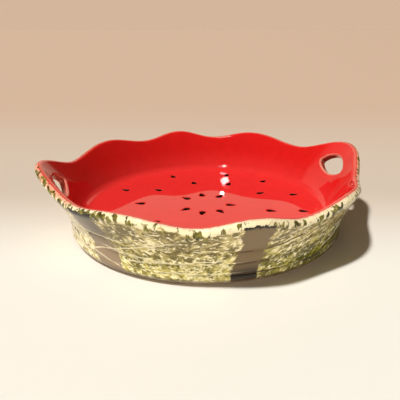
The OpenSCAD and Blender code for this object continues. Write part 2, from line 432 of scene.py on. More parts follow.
# %% [markdown]
# The outline is found from its two rises. Each large arc goes through the tips that the hole would have if it
# were sharp, and a small round that touches both arcs from inside then takes the place of each tip.

# %% Half-moon outline
def half_moon():
    """Two large arcs, arch and sill, joined by tip rounds that touch both.
    Gives points and normals as (up, across)."""
    bow = [(hand_w ** 2 / 4 + h ** 2) / (2 * h) for h in (arch, sill)]
    mid = [arch - bow[0], bow[1] - sill]
    up = (mid[0] ** 2 - mid[1] ** 2 - (bow[0] - tip) ** 2 + (bow[1] - tip) ** 2) / (2 * (mid[0] - mid[1]))
    across = np.sqrt((bow[0] - tip) ** 2 - (up - mid[0]) ** 2)
    a, s = np.arctan2(up - mid[0], across), np.arctan2(up - mid[1], across)
    spans = [
        (a, np.pi - a, 70, 0, mid[0], bow[0]),
        (np.pi - a, np.pi - s, 40, -across, up, tip),
        (np.pi - s, 2 * np.pi + s, 70, 0, mid[1], bow[1]),
        (2 * np.pi + s, 2 * np.pi + a, 40, across, up, tip),
    ]
    turns = [np.linspace(t0, t1, n) for t0, t1, n, *_ in spans]
    points = [np.stack([m + r * np.sin(t), c + r * np.cos(t)], -1) for t, (*_, c, m, r) in zip(turns, spans)]
    turn = np.concatenate(turns)
    return np.concatenate(points), np.stack([np.sin(turn), np.cos(turn)], axis=-1)


moon = half_moon()
print("hand hole", np.round(np.ptp(moon[0], axis=0) / MM, 1), "mm")

# %% [markdown]
# A point of the half moon is carried along the hole's axis until it meets the face of the wall. The face is
# curved and leans, so the meeting point is found by a few steps of Newton's method, for all points at once.

# %% Carry the outline onto the wall
hole_axis = np.array([np.cos(hand_f), 0, -np.sin(hand_f)])
hole_up = np.array([np.sin(hand_f), 0, np.cos(hand_f)])
hole_across = np.array([0, 1.0, 0])


def in_hole(up_across, along):
    """A place in the first hand hole, from its outline coordinates and the distance along its axis."""
    flat = up_across[..., :1] * hole_up + up_across[..., 1:] * hole_across
    return hand_mid + flat + along[..., None] * hole_axis


def meet_wall(up_across, side, off):
    """Distance along the axis at which each point meets a face of the wall."""
    along = np.full(up_across.shape[:-1], side * lip_r)
    for _ in range(8):
        x, y, z = np.moveaxis(in_hole(up_across, along), -1, 0)
        gap = np.hypot(x, y) - wall_radius(np.degrees(np.arctan2(y, x)), z, side, off)
        along = along - gap * np.cos(hand_f)
    return along


through = meet_wall(moon[0], 1, coat) - meet_wall(moon[0], -1, coat)
print(f"wall is {through.mean() / MM:.2f} mm through the hole")

# %% [markdown]
# The coat outside lines the whole hole. The coat inside ends where its own rounded edge meets that lining.

# %% Loops of a hand hole
hand_edge_out, hand_edge_in, hand_lead = 1.35 * MM, -0.3 * MM, (0.3, 0.55, 0.8)


def hand_loops(points, loop, side):
    """Stacked loops for the first hand hole on one face of the wall: over the face to the outline, round the
    edge, through the wall as far as this coat lines it, and back along the clay."""
    at = points[loop]
    rel = at - hand_mid
    on, normal = match(np.stack([-side * (rel @ hole_up), rel @ hole_across], -1),
                       (moon[0] * [-side, 1], moon[1] * [-side, 1]), np.array([hand_l, hand_w]) / 2)
    on, normal = on * [-side, 1], normal * [-side, 1]
    edge, depth = rounded_edge(hand_edge_out, hand_edge_in, 9)
    rim = in_hole(on + edge[0] * normal, meet_wall(on + edge[0] * normal, side, coat))
    loops = []
    for t in hand_lead:
        az = np.degrees((1 - t) * np.arctan2(at[:, 1], at[:, 0]) + t * np.arctan2(rim[:, 1], rim[:, 0]))
        z = (1 - t) * at[:, 2] + t * rim[:, 2]
        r = wall_radius(az, z, side, coat)
        loops.append(np.stack([r * np.cos(np.radians(az)), r * np.sin(np.radians(az)), z], axis=-1))
    for e, d in zip(edge, depth):
        loops.append(in_hole(on + e * normal, meet_wall(on + e * normal, side, coat) - side * d))
    inner = on + edge[-1] * normal
    start = meet_wall(inner, side, coat) - side * depth[-1]
    stop = meet_wall(inner, -1, coat) + depth[-1]
    if side > 0:
        loops += [in_hole(inner, start + (stop - start) * t) for t in (0.25, 0.5, 0.75, 1)]
    loops += [in_hole(on, stop), in_hole(on, meet_wall(on, side, 0))]
    return np.stack(loops)


print("edge of a hand hole, mm:", np.round(rounded_edge(hand_edge_out, hand_edge_in, 9)[0] / MM, 2))

# %% [markdown]
# Both faces of the wall are built by the same function. Points are tagged with their drop below the crest
# and with their distance from the edge of a hand hole, because glaze runs thin and pale at both. A third tag
# grows from 0 to 1 where the coat goes down into a hole, because the red of the inside reaches through it.

# %% Tags on the wall
edge_sink, near_hand = 0.4 * MM, 45 * MM


def distance_to_edge(points, side):
    """Distance from the nearest hand hole's edge on one face, taken from points along that edge."""
    rim = in_hole(moon[0], meet_wall(moon[0], side, coat) - side * edge_sink)
    near = points * np.where(points[:, :1] < 0, [-1, -1, 1], [1, 1, 1])
    found = np.full(len(near), far)
    close = np.linalg.norm(near - hand_mid, axis=1) < near_hand
    found[close] = np.linalg.norm(near[close][:, None] - rim, axis=-1).min(axis=1)
    return found


def drop_on_wall(points, side):
    """Distance from the crest along the section: over the lip's round and down the straight wall."""
    azimuth = np.degrees(np.arctan2(points[..., 1], points[..., 0]))
    f = lean(azimuth)
    over_lip = (lip_r + coat) * (np.pi / 2 + side * f)
    return over_lip + (wall_lines(azimuth, side, coat)[2] - points[..., 2]) / np.cos(f)


print(f"tags reach {near_hand / MM:.0f} mm from the middle of a hand hole")

# %% [markdown]
# The grid of a wall coat closes like the floor's, without a pole. The loops of the second hand hole are those
# of the first, worked out on points that are turned by half a round, and then turned back.

# %% Wall coats
hand_half_angle, tunnel_from, tunnel_loops = 14, 8, 3
hand_half = int(hand_half_angle * columns / 360)


def wall_coat(node, slot, front, back, front_drop, side, window_rows):
    """A coat on a face of the wall with its two hand holes, tagged with drop, edge and tunnel."""
    grid = shell(front, back)
    rows, turned = len(grid), np.array([-1, -1, 1])
    points, faces, count = [grid.reshape(-1, 3)], [], rows * columns
    drops, tunnels = [np.concatenate([front_drop, front_drop[::-1]]).ravel()], [np.zeros(count)]
    windows = [(*window_rows, middle - hand_half, middle + hand_half) for middle in (0, columns // 2)]
    for k, window in enumerate(windows):
        js, ls = window_loop(*window)
        loop, end = js * columns + ls, (rows - 1 - js) * columns + ls
        first = points[0] * turned if k else points[0]
        loops = hand_loops(first, loop, side) * (turned if k else 1)
        faces.append(bridge(loop_numbers(loop, count, len(loops), end)))
        points.append(loops.reshape(-1, 3))
        drops.append(drop_on_wall(points[-1], side))
        tunnel = np.clip((np.arange(len(loops)) - tunnel_from) / tunnel_loops, 0, 1)
        tunnels.append(np.repeat(tunnel, loops.shape[1]))
        count += loops.shape[0] * loops.shape[1]
    points = np.concatenate(points)
    quads = np.concatenate([shell_faces(rows, windows, False)] + faces)
    return make_coat(
        node, slot, points, quads, drop=np.concatenate(drops), edge=distance_to_edge(points, side),
        tunnel=np.concatenate(tunnels), seed=np.full(len(points), far))


def inside_section(off):
    """From the seam up the inside of the wall and over the lip to its crest."""
    lip = arc(lip_mid, lip_r + off, np.pi - leans, np.pi / 2, 18)
    return chain(straight(point(seam_in_r - off / np.cos(wall_flare), seam_h), lip[0], 21), lip)


inside = inside_section(coat)
inside_drop = run_along(inside)[-1] - run_along(inside)
wall_inside = wall_coat(
    "wall_lining", "red_glaze", inside, inside_section(0), inside_drop, side=-1, window_rows=(0, 18))

# %% [markdown]
# The pale band and the green wall
# Outside, the glaze is pale from the crest to a line a finger's breadth below it, and from there down it is
# the rind. The two coats meet edge to edge on one straight run, so no step shows.

# %% Pale band and outside of the wall
def outside_run(off):
    """Outer side of the lip and the two ends of the straight run below it: the band's edge and the seam."""
    lip = arc(lip_mid, lip_r + off, np.pi / 2, -leans, 20)
    seam = point(seam_out_r + off / np.cos(wall_flare), seam_h)
    drop = seam - lip[-1]
    return lip, lip[-1] + drop * band_w / np.linalg.norm(drop, axis=-1, keepdims=True), seam


def band_section(off):
    """Over the lip from its crest and down to the band's lower edge."""
    lip, edge, _ = outside_run(off)
    return chain(lip, straight(lip[-1], edge, 8))


def rind_section(off):
    """From the band's lower edge down to the seam."""
    _, edge, seam = outside_run(off)
    return straight(edge, seam, 17)


band = shell(band_section(coat), band_section(0))
band_drop = run_along(band_section(coat))
rim_band = make_coat("rim_band", "pale_glaze", band, shell_faces(len(band), [], False),
                     drop=np.concatenate([band_drop, band_drop[::-1]]))
outside_drop = band_drop[-1] + run_along(rind_section(coat))
wall_outside = wall_coat(
    "wall_rind", "rind_glaze", rind_section(coat), rind_section(0), outside_drop, side=1, window_rows=(1, 16))

# %% [markdown]
# The grooved side
# The lower side of the bowl keeps the grooves that fingers press into clay on the wheel. They wander a
# little, and the clay swells between them. The grooves could be a bump in the material, but they catch the
# light along the silhouette, so they are in the surface. The coat is moved in and out along its own normal.

# %% Grooves
groove_first, groove_step, groove_depth, groove_half = 9.5 * MM, 0.43, 0.5 * MM, 0.9 * MM
groove_wander, groove_count = 1.4 * MM, 3
ridge_above, ridge_half = 1.5 * groove_half, 0.6 * groove_half
swell_away, swell_half, swell_height = 4 * MM, 2.2 * MM, 0.25 * MM
groove_heights = groove_first + np.arange(groove_count) * groove_step * (seam_h - groove_first)


def groove_lines(height):
    """Depth of the grooves, the swelling beside them and the ridges above them, at each row and column.
    All are bell curves across the groove's line, and the line wanders by two slow waves round the bowl."""
    a = np.radians(azimuths)
    waves = [np.sin((1 + k % 2) * a + 2.4 * k) + 0.6 * np.sin(3 * a + 4.1 * k) for k in range(groove_count)]
    away = np.stack([height - h - groove_wander * wave for h, wave in zip(groove_heights, waves)])
    depth = np.exp(-((away / groove_half) ** 2)).max(axis=0)
    ridge = np.exp(-(((away - ridge_above) / ridge_half) ** 2)).max(axis=0)
    swell = np.exp(-(((np.abs(away).min(axis=0) - swell_away) / swell_half) ** 2))
    return depth, swell, ridge


print("grooves at", np.round(groove_heights / MM, 1), "mm")

# %% [markdown]
# The section of the side runs from the seam down the sweep, the upright side and the heel to the glaze line.
# The grooves fade out towards both ends, so that the coat meets its neighbours where the solids do.

# %% Grooved side
fade_top, fade_low = 2 * MM, 3 * MM


def side_section(off):
    """From the seam down the sweep and the upright side, and round the heel to the glaze line."""
    sweep = arc(point(base_r + sweep_r, upright_h), sweep_r - off, np.pi - wall_flare, np.pi, 46)
    end = np.arcsin((glaze_line_h - heel_r) / (heel_r + off))
    heel = arc(point(base_r - heel_r, heel_r), heel_r + off, 0, end, 14)
    sweep = sweep.copy()
    sweep[0] = point(seam_out_r + off / np.cos(wall_flare), seam_h)
    return chain(sweep, straight(sweep[-1], heel[0], 16), heel)


side_front = side_section(coat)
side_drop = outside_drop[-1] + run_along(side_front)
depth, swell, ridge = groove_lines(side_front[..., 1])
fade = ease(np.clip((seam_h - side_front[..., 1]) / fade_top, 0, 1))
fade = fade * ease(np.clip((side_front[..., 1] - glaze_line_h) / fade_low, 0, 1))
across = np.gradient(side_front, axis=0)
outwards = np.stack([-across[..., 1], across[..., 0]], axis=-1)
outwards = outwards / np.linalg.norm(across, axis=-1, keepdims=True)
side_front = side_front + outwards * (fade * (swell_height * swell - groove_depth * depth))[..., None]
side = shell(side_front, side_section(0))
dish_side = make_coat(
    "dish_rind", "rind_glaze", side, shell_faces(len(side), [], False),
    drop=np.concatenate([side_drop, side_drop[::-1]]), edge=np.full(side.shape[:2], far),
    groove=np.concatenate([depth * fade, 0 * depth]), ridge=np.concatenate([ridge * fade, 0 * ridge]))

# %% [markdown]
# Finishes
# All finishes are made of nodes. Small helpers keep the code readable: one places a node and fills in its
# inputs, and others do sums. They take numbers or the outputs of other nodes.

# %% Nodes and sums
def place(tree, kind, inputs=(), **settings):
    """A new node with its settings, and with its inputs set to values or linked to outputs."""
    made = tree.nodes.new("ShaderNode" + kind)
    for name, value in settings.items():
        setattr(made, name, value)
    for name, value in dict(inputs).items():
        if isinstance(value, bpy.types.NodeSocket):
            tree.links.new(value, made.inputs[name])
        else:
            made.inputs[name].default_value = value
    return made


def sums(tree, operation, *values):
    """One step of arithmetic on numbers or outputs."""
    return place(tree, "Math", dict(enumerate(values)), operation=operation).outputs[0]


def times(tree, a, b):
    """The product of a and b."""
    return sums(tree, "MULTIPLY", a, b)


def minus(tree, a, b):
    """What is left of a without b."""
    return sums(tree, "SUBTRACT", a, b)


def times_plus(tree, a, b, c):
    """The product of a and b, with c added."""
    return sums(tree, "MULTIPLY_ADD", a, b, c)


def larger(tree, a, b):
    """The larger of a and b."""
    return sums(tree, "MAXIMUM", a, b)


print("helpers for nodes and sums ready")

# %% [markdown]
# A ramp turns a value into a soft mask, and a blend lays one colour over another by such a mask.

# %% Ramps and colours
def ramp(tree, value, low, high, bottom=0.0, top=1.0):
    """The value's smooth rise from bottom to top between low and high."""
    ends = {"Value": value, "From Min": low, "From Max": high, "To Min": bottom, "To Max": top}
    return place(tree, "MapRange", ends, interpolation_type="SMOOTHSTEP").outputs[0]


def blend(tree, amount, a, b):
    """Colour a where the amount is 0 and colour b where it is 1."""
    return place(tree, "Mix", {0: amount, 6: a, 7: b}, data_type="RGBA").outputs[2]


def colour(red, green, blue):
    """A plain colour with full opacity."""
    return (red, green, blue, 1.0)


print("helpers for ramps and colours ready")

# %% [markdown]
# Noise and the values that a mesh carries decide where a mark lies. Two more helpers are used often: one
# moves a value up and down by noise, which makes an edge uneven, and one picks the side of the bowl that
# faces an azimuth.

# %% Helpers for marks
def noise(tree, where, size, detail=3.0, roughness=0.5, distortion=0.0):
    """Smooth noise from 0 to 1 with blotches of about the given size in metres."""
    inputs = {"Vector": where, "Scale": 1 / size, "Detail": detail}
    inputs |= {"Roughness": roughness, "Distortion": distortion}
    return place(tree, "TexNoise", inputs).outputs["Fac"]


def shaken(tree, value, reach, where, size, **kind):
    """The value moved up and down by noise, by half the reach at the most."""
    return times_plus(tree, minus(tree, noise(tree, where, size, **kind), 0.5), reach, value)


def towards(tree, azimuth, middle, low, high, *ends):
    """A ramp over the cosine of the angle between an azimuth in radians and a middle in degrees."""
    return ramp(tree, sums(tree, "COSINE", minus(tree, azimuth, np.radians(middle))), low, high, *ends)


def attribute(tree, name):
    """A value that the mesh carries at its points."""
    return place(tree, "Attribute", attribute_name=name).outputs["Fac"]


print("mark helpers ready")

# %% [markdown]
# What several finishes share is a node group. Two functions make an empty group and link its results.

# %% Start a group
def new_group(name, inputs, outputs):
    """An empty node group with named float or vector sockets, and its two end nodes."""
    tree = bpy.data.node_groups.new(name, "ShaderNodeTree")
    for socket, kind, value in inputs:
        made = tree.interface.new_socket(socket, in_out="INPUT", socket_type="NodeSocket" + kind)
        if value is not None:
            made.default_value = value
    for socket, kind in outputs:
        tree.interface.new_socket(socket, in_out="OUTPUT", socket_type="NodeSocket" + kind)
    return tree, tree.nodes.new("NodeGroupInput").outputs, tree.nodes.new("NodeGroupOutput")


def finish_group(tree, end, **results):
    """Links the results to the group's outputs."""
    for name, value in results.items():
        tree.links.new(value, end.inputs[name])


print("group helpers ready")

# %% [markdown]
# Three such effects come first. Glaze surface is the slow unevenness and faint orange peel of a melted coat,
# and the slight change of its shine. Thin edge is a ragged line where glaze runs off an edge. Round the bowl
# gives the azimuth and the height of a place.

# %% Shared groups
glaze_surface, given, end = new_group(
    "Glaze surface", [("Where", "Vector", None), ("Shine", "Float", 0.08)],
    [("Height", "Float"), ("Roughness", "Float"), ("Mottle", "Float")])
slow = noise(glaze_surface, given["Where"], 22 * MM, detail=1.0)
peel = noise(glaze_surface, given["Where"], 1.6 * MM, detail=2.0)
mottle = noise(glaze_surface, given["Where"], 9 * MM, detail=4.0, roughness=0.6)
height = times_plus(glaze_surface, peel, 0.012, slow)
shine = times(glaze_surface, given["Shine"], ramp(glaze_surface, mottle, 0.3, 0.7, 0.8, 1.3))
finish_group(glaze_surface, end, Height=height, Roughness=shine, Mottle=mottle)

thin_edge, given, end = new_group(
    "Thin edge", [("Where", "Vector", None), ("Distance", "Float", 1.0), ("Width", "Float", 0.001),
                  ("Ragged", "Float", 0.5)], [("Mask", "Float")])
tooth = ramp(thin_edge, noise(thin_edge, given["Where"], 2.6 * MM, detail=2.0), 0.25, 0.75, -1.0, 1.0)
stretch = times_plus(thin_edge, tooth, given["Ragged"], 1.0)
share = sums(thin_edge, "DIVIDE", given["Distance"], times(thin_edge, given["Width"], stretch))
finish_group(thin_edge, end, Mask=ramp(thin_edge, share, 0.4, 1.0, 1.0, 0.0))

round_bowl, given, end = new_group(
    "Round the bowl", [("Where", "Vector", None)], [("Azimuth", "Float"), ("Height", "Float")])
parts = place(round_bowl, "SeparateXYZ", {0: given["Where"]}).outputs
finish_group(round_bowl, end, Azimuth=sums(round_bowl, "ARCTAN2", parts["Y"], parts["X"]), Height=parts["Z"])
print("groups:", ", ".join(g.name for g in bpy.data.node_groups))

# %% [markdown]
# A finish starts as a new material with a Principled shader, and the plain numbers sit on the shader itself.

# %% Start a finish
def new_finish(name, ior):
    """A material, its tree, its shader, and the piece's own coordinates."""
    material = bpy.data.materials.new(name)
    material.use_nodes = True
    tree = material.node_tree
    shader = tree.nodes["Principled BSDF"]
    shader.inputs["IOR"].default_value = ior
    return material, tree, shader, place(tree, "TexCoord").outputs["Object"]


def use_group(tree, group, **inputs):
    """A node group placed in a material, with its inputs set."""
    return place(tree, "Group", inputs, node_tree=group).outputs


def runs_thin(tree, where, distance, width, ragged):
    """Mask of the strip along an edge in which the glaze has run thin."""
    inputs = {"Where": where, "Distance": distance, "Width": width, "Ragged": ragged}
    return use_group(tree, thin_edge, **inputs)["Mask"]


def set_surface(tree, shader, base, roughness, height, depth):
    """Links colour, roughness and a bump of the given depth in metres to the shader."""
    bump = place(tree, "Bump", {"Height": height, "Distance": depth})
    tree.links.new(base, shader.inputs["Base Color"])
    tree.links.new(roughness, shader.inputs["Roughness"])
    tree.links.new(bump.outputs[0], shader.inputs["Normal"])


def wear(material, *pieces):
    """Gives pieces this finish alone."""
    for piece in pieces:
        piece.data.materials.clear()
        piece.data.materials.append(material)
    print(material.name, "on", ", ".join(p.name for p in pieces))


print("finish helpers ready")

# %% [markdown]
# Red glaze
# The red is deep and even, with a strong gloss. The floor's red is lighter and pinker than the wall's, which
# is painted sheen on the floor and painted shade on the wall. Where it thins over the lip and round the hand
# holes it turns to salmon, because the pale ground shows through. The drain holes are painted near black
# inside, which is painted shade of the dark holes, and are dull up to their rounded edges.

# %% Red glaze
red_tones = colour(0.68, 0.010, 0.010), colour(0.82, 0.016, 0.015)
# The floor's red is lighter and pinker than the wall's: painted sheen on the floor, painted shade on the
# wall.
floor_sheen_tones = colour(0.74, 0.027, 0.026), colour(0.87, 0.036, 0.034)
# The near-black tone inside the drain holes is painted shade.
thin_tone, hole_shade_tone = colour(0.80, 0.30, 0.22), colour(0.040, 0.009, 0.005)
red, tree, shader, where = new_finish("red_glaze", ior=1.5)
surface = use_group(tree, glaze_surface, Where=where, Shine=0.022)
turn = use_group(tree, round_bowl, Where=where)
on_wall = ramp(tree, turn["Height"], floor_h + 2 * MM, floor_h + 22 * MM)
# Painted sheen and shade: the floor gets the lighter red and the wall the deeper one.
floor_sheen_red, wall_shade_red = (blend(tree, surface["Mottle"], *tones) for tones in (floor_sheen_tones, red_tones))
body = blend(tree, on_wall, floor_sheen_red, wall_shade_red)
sideways = sums(tree, "ABSOLUTE", sums(tree, "COSINE", turn["Azimuth"]))
lip_wide = ramp(tree, sideways, 0.9, 0.99, 2.2 * MM, 3.0 * MM)
on_lip = runs_thin(tree, where, attribute(tree, "drop"), lip_wide, ragged=0.2)
by_hole = runs_thin(tree, where, attribute(tree, "edge"), 1.7 * MM, ragged=0.3)
salmon = larger(tree, times(tree, on_lip, 0.5), times(tree, by_hole, 0.85))
thinned = blend(tree, salmon, body, thin_tone)
off_seed = attribute(tree, "seed")
# Painted shade: the drain holes are near black inside and along their outline.
base = blend(tree, ramp(tree, off_seed, 0.0, 0.5 * MM, 1.0, 0.0), thinned, hole_shade_tone)
roughness = larger(tree, surface["Roughness"], ramp(tree, off_seed, 0.9 * MM, 1.5 * MM, 0.5, 0.0))
set_surface(tree, shader, base, roughness, surface["Height"], depth=0.008 * MM)
wear(red, floor_coat, wall_inside)

# %% [markdown]
# Painted rind
# Outside, the cream ground is dabbed with olive by a sponge: thin at the crest, dense just under the pale
# band, looser and greener lower down. Low on the side away from the high lamp it is darker and greener, which
# is painted shade, and on the side whose gloss mirrors the bright floor it is paler, which is painted
# reflection. The painter did not stop at the line between band and rind, so the paint is one group that both
# finishes use. Everything in it hangs on the drop below the crest, the azimuth, and noise in space.

# %% Where the paint lies
shaded_at, reflection_at = 312, 190
painted_rind, given, end = new_group(
    "Painted rind", [("Where", "Vector", None), ("Drop", "Float", 0.05), ("Mottle", "Float", 0.5)],
    [("Colour", "Color"), ("Dense", "Float"), ("Stripe", "Float")])
tree, where, drop = painted_rind, given["Where"], given["Drop"]
parts = place(tree, "SeparateXYZ", {0: where}).outputs
azimuth = sums(tree, "ARCTAN2", parts["Y"], parts["X"])
low = ramp(tree, drop, 16 * MM, 44 * MM)
# Painted shade: darker, greener paint low on the side away from the high lamp.
shaded = times(tree, towards(tree, azimuth, shaded_at, 0.70, 0.97), low)
# Painted reflection: paler paint on the side whose gloss mirrors the bright floor.
pale_by_reflection = towards(tree, azimuth, reflection_at, 0.87, 0.97)
dense = noise(tree, where, 24 * MM, detail=1.0)
edge_drop = shaken(tree, drop, 11 * MM, where, 13 * MM, detail=2.0)
thick = times(tree, minus(tree, dense, 0.5), 0.30)
thick = sums(tree, "ADD", thick, ramp(tree, edge_drop, 3 * MM, 8 * MM, -0.30, 0.06))
# The painted shade and the painted reflection also change how thick the paint is.
for share, amount in ((shaded, 0.10), (low, -0.045), (pale_by_reflection, -0.06)):
    thick = times_plus(tree, share, amount, thick)
print("places and thickness of the paint take", len(tree.nodes), "nodes")

# %% [markdown]
# A dab is a blotch of noise, and a fleck is a gap between dabs where the cream shows. The sponge moved round
# the bowl on a slow wave, so both lie along that wave: the height is stretched before the noise is taken.

# %% Sponge dabs
wash_tones = colour(0.57, 0.46, 0.18), colour(0.62, 0.53, 0.145)
dab_tones = colour(0.165, 0.123, 0.035), colour(0.145, 0.118, 0.014)
cream_tones = colour(0.87, 0.76, 0.45), colour(0.97, 0.88, 0.62)
# The shaded tones are painted shade.
shaded_wash, shaded_dab = colour(0.40, 0.36, 0.04), colour(0.075, 0.07, 0.003)
warm_cream = colour(0.94, 0.88, 0.48)
sway = times(tree, sums(tree, "SINE", times_plus(tree, azimuth, 2.0, -0.87)), 20 * MM)
wound = sums(tree, "ADD", parts["Z"], sway)


def flattened(stretch):
    """The place with its height stretched, so that noise there makes marks that lie along the bowl."""
    tall = times(painted_rind, wound, stretch)
    return place(painted_rind, "CombineXYZ", {"X": parts["X"], "Y": parts["Y"], "Z": tall}).outputs[0]


dabs = noise(tree, flattened(1.5), 6.5 * MM, detail=4.0, roughness=0.65, distortion=0.5)
flecks = noise(tree, flattened(2.0), 3.4 * MM, detail=3.0, roughness=0.6, distortion=0.4)
warm = times(tree, low, minus(tree, 1.0, pale_by_reflection))
wash_colour = blend(tree, shaded, blend(tree, warm, *wash_tones), shaded_wash)
dab_colour = blend(tree, shaded, blend(tree, low, *dab_tones), shaded_dab)
cream = blend(tree, given["Mottle"], *cream_tones)
cream = blend(tree, times(tree, warm, 0.6), cream, warm_cream)
sponged = blend(tree, ramp(tree, sums(tree, "ADD", dabs, thick), 0.42, 0.62), wash_colour, dab_colour)
sponged = blend(tree, ramp(tree, minus(tree, flecks, thick), 0.45, 0.59), sponged, cream)
print("with the sponge dabs there are", len(tree.nodes), "nodes")

# %% [markdown]
# Dark stripes run down the rind, seven round the bowl. A stripe is a band of azimuth. Its number round the
# bowl picks its slant, its bend and the height of its top, and noise frays its sides and its top. The stripe
# on one side is broader than the rest.

# %% Shape of the stripes
stripes_round, stripe_w, first_stripe = 7, 16.5 * MM, np.radians(270.5)
broad_at, broader_by = 214, 0.45
per_turn = stripes_round / (2 * np.pi)
half_share = stripe_w / 2 * per_turn / seam_out_r
phase = times_plus(tree, azimuth, per_turn, stripes_round + 0.5 - first_stripe * per_turn)
own = place(tree, "TexWhiteNoise", {"W": sums(tree, "FLOOR", phase)}, noise_dimensions="1D").outputs["Value"]
own_way = minus(tree, own, 0.5)
slant = times(tree, times(tree, own_way, minus(tree, drop, 25 * MM)), 10.0)
bend = times(tree, larger(tree, own_way, 0.0), 0.34)
slant = times_plus(tree, bend, ramp(tree, drop, 28 * MM, 50 * MM), slant)
aside = sums(tree, "ADD", minus(tree, sums(tree, "FRACT", phase), 0.5), slant)
aside = shaken(tree, aside, 0.13, where, 15 * MM, detail=1.0)
aside = shaken(tree, aside, 0.11, where, 5 * MM, detail=5.0, roughness=0.65)
broad = towards(tree, azimuth, broad_at, 0.8, 0.95)
widened = times(tree, broad, broader_by * half_share)
beyond = minus(tree, sums(tree, "ABSOLUTE", sums(tree, "ADD", aside, widened)), widened)
stripe = ramp(tree, beyond, half_share * 0.93, half_share * 1.07, 1.0, 0.0)
ragged = noise(tree, where, 2.6 * MM, detail=3.0, roughness=0.6)
top_end = times_plus(tree, ragged, 5 * MM, times_plus(tree, own, 3 * MM, 0.8 * MM))
below_top = minus(tree, drop, top_end)
stripe = times(tree, stripe, ramp(tree, below_top, 0.0, 0.5 * MM))
print(f"{stripes_round} stripes of {stripe_w / MM:.1f} mm, each {2 * half_share:.2f} of the step to the next")

# %% [markdown]
# Along the top of a stripe the paint is thickest, and nearly black. Below that it is umber. The broad stripe
# starts darker and turns to a thin grey brown, which is partly painted sheen, and on the shaded side the low
# ends are near black as painted shade.

# %% Colours of the stripes
umber_tone, low_shade_tone = colour(0.18, 0.118, 0.054), colour(0.014, 0.010, 0.006)
black_tone = colour(0.012, 0.008, 0.004)
# The grey brown of the broad stripe lower down is partly painted sheen.
broad_tones_and_sheen = colour(0.09, 0.055, 0.025), colour(0.30, 0.215, 0.13)
# Painted shade: the low ends of the stripes on the side away from the lamp are near black.
shade_low_end = times(tree, towards(tree, azimuth, shaded_at, 0.1, 0.6), ramp(tree, drop, 38.5 * MM, 47 * MM))
umber = blend(tree, broad, umber_tone, blend(tree, ramp(tree, drop, 18 * MM, 34 * MM), *broad_tones_and_sheen))
brown = blend(tree, shade_low_end, umber, low_shade_tone)
black_to = ramp(tree, broad, 0.0, 1.0, 3.0 * MM, 4.6 * MM)
below_black = ramp(tree, minus(tree, below_top, black_to), -1.8 * MM, 0.4 * MM)
stripe_colour = blend(tree, below_black, black_tone, brown)
finish_group(tree, end, Colour=blend(tree, stripe, sponged, stripe_colour), Dense=dense, Stripe=stripe)
print("painted rind has", len(tree.nodes), "nodes")

# %% [markdown]
# Pale glaze
# The band is cream, and the paint of the rind reaches up into it. A little red has bled over the crest and
# turned to salmon, in a narrow line along the sides and a wide one on the handles.

# %% Ground of the band
salmon_tones = colour(0.86, 0.50, 0.36), colour(0.82, 0.27, 0.18)
pale, tree, shader, where = new_finish("pale_glaze", ior=1.42)
surface = use_group(tree, glaze_surface, Where=where, Shine=0.14)
drop = attribute(tree, "drop")
painted = use_group(tree, painted_rind, Where=where, Drop=drop, Mottle=surface["Mottle"])
turn = use_group(tree, round_bowl, Where=where)
sideways = sums(tree, "ABSOLUTE", sums(tree, "COSINE", turn["Azimuth"]))
handle = ramp(tree, sideways, 0.84, 0.96)
pink_wide = ramp(tree, handle, 0.0, 1.0, 2.2 * MM, 6.0 * MM)
pink = runs_thin(tree, where, drop, pink_wide, ragged=0.35)
over = runs_thin(tree, where, drop, 0.9 * MM, ragged=0.3)
ground = blend(tree, times(tree, pink, 0.8), painted["Colour"], blend(tree, handle, *salmon_tones))
ground = blend(tree, over, ground, blend(tree, surface["Mottle"], *red_tones))
print("ground of the band takes", len(tree.nodes), "nodes")

# %% [markdown]
# Short green strokes stand on the band in clumps, as on a melon's edge. They are noise that is drawn out
# upwards. Slower noise round the bowl clumps them and gives each its height. By the handles they are denser
# and stand higher, and they keep off the stripes.

# %% Strokes on the band
stroke_tones = colour(0.045, 0.036, 0.004), colour(0.23, 0.20, 0.036)
parts = place(tree, "SeparateXYZ", {0: where}).outputs
level_place = {"X": parts["X"], "Y": parts["Y"]}
upright = place(tree, "CombineXYZ", level_place | {"Z": times(tree, drop, 0.35)}).outputs[0]
ringed = place(tree, "CombineXYZ", level_place).outputs[0]
by_hand = ramp(tree, sideways, 0.25, 0.9, 0.0, 0.14)
clump = ramp(tree, noise(tree, ringed, 17 * MM, detail=1.0), 0.40, 0.60, -0.06, 0.09)
marks = sums(tree, "ADD", noise(tree, upright, 3.7 * MM, detail=2.0), sums(tree, "ADD", clump, by_hand))
reach = ramp(tree, noise(tree, ringed, 4.0 * MM, detail=1.0), 0.3, 0.7, 5.5 * MM, 0.8 * MM)
below = times_plus(tree, by_hand, 12 * MM, minus(tree, drop, reach))
stroke = times(tree, ramp(tree, marks, 0.535, 0.59), ramp(tree, below, 0.0, 0.8 * MM))
stroke = times(tree, stroke, ramp(tree, below, 5.0 * MM, 8.0 * MM, 1.0, 0.0))
stroke = times(tree, stroke, minus(tree, 1.0, painted["Stripe"]))
green = blend(tree, ramp(tree, noise(tree, where, 4 * MM, detail=2.0), 0.35, 0.65), *stroke_tones)
base = blend(tree, stroke, ground, green)
set_surface(tree, shader, base, surface["Roughness"], surface["Height"], depth=0.2 * MM)
wear(pale, rim_band)

# %% [markdown]
# Rind glaze
# On the wall and the side the same paint goes on, under a thick gloss. Glaze runs off a ridge and pools in a
# groove. On the side that faces the high lamp the ridges show as thin pale lines, partly painted highlight,
# and on the rest the grooves show as dark ones, partly painted shadow. Noise breaks both of them.

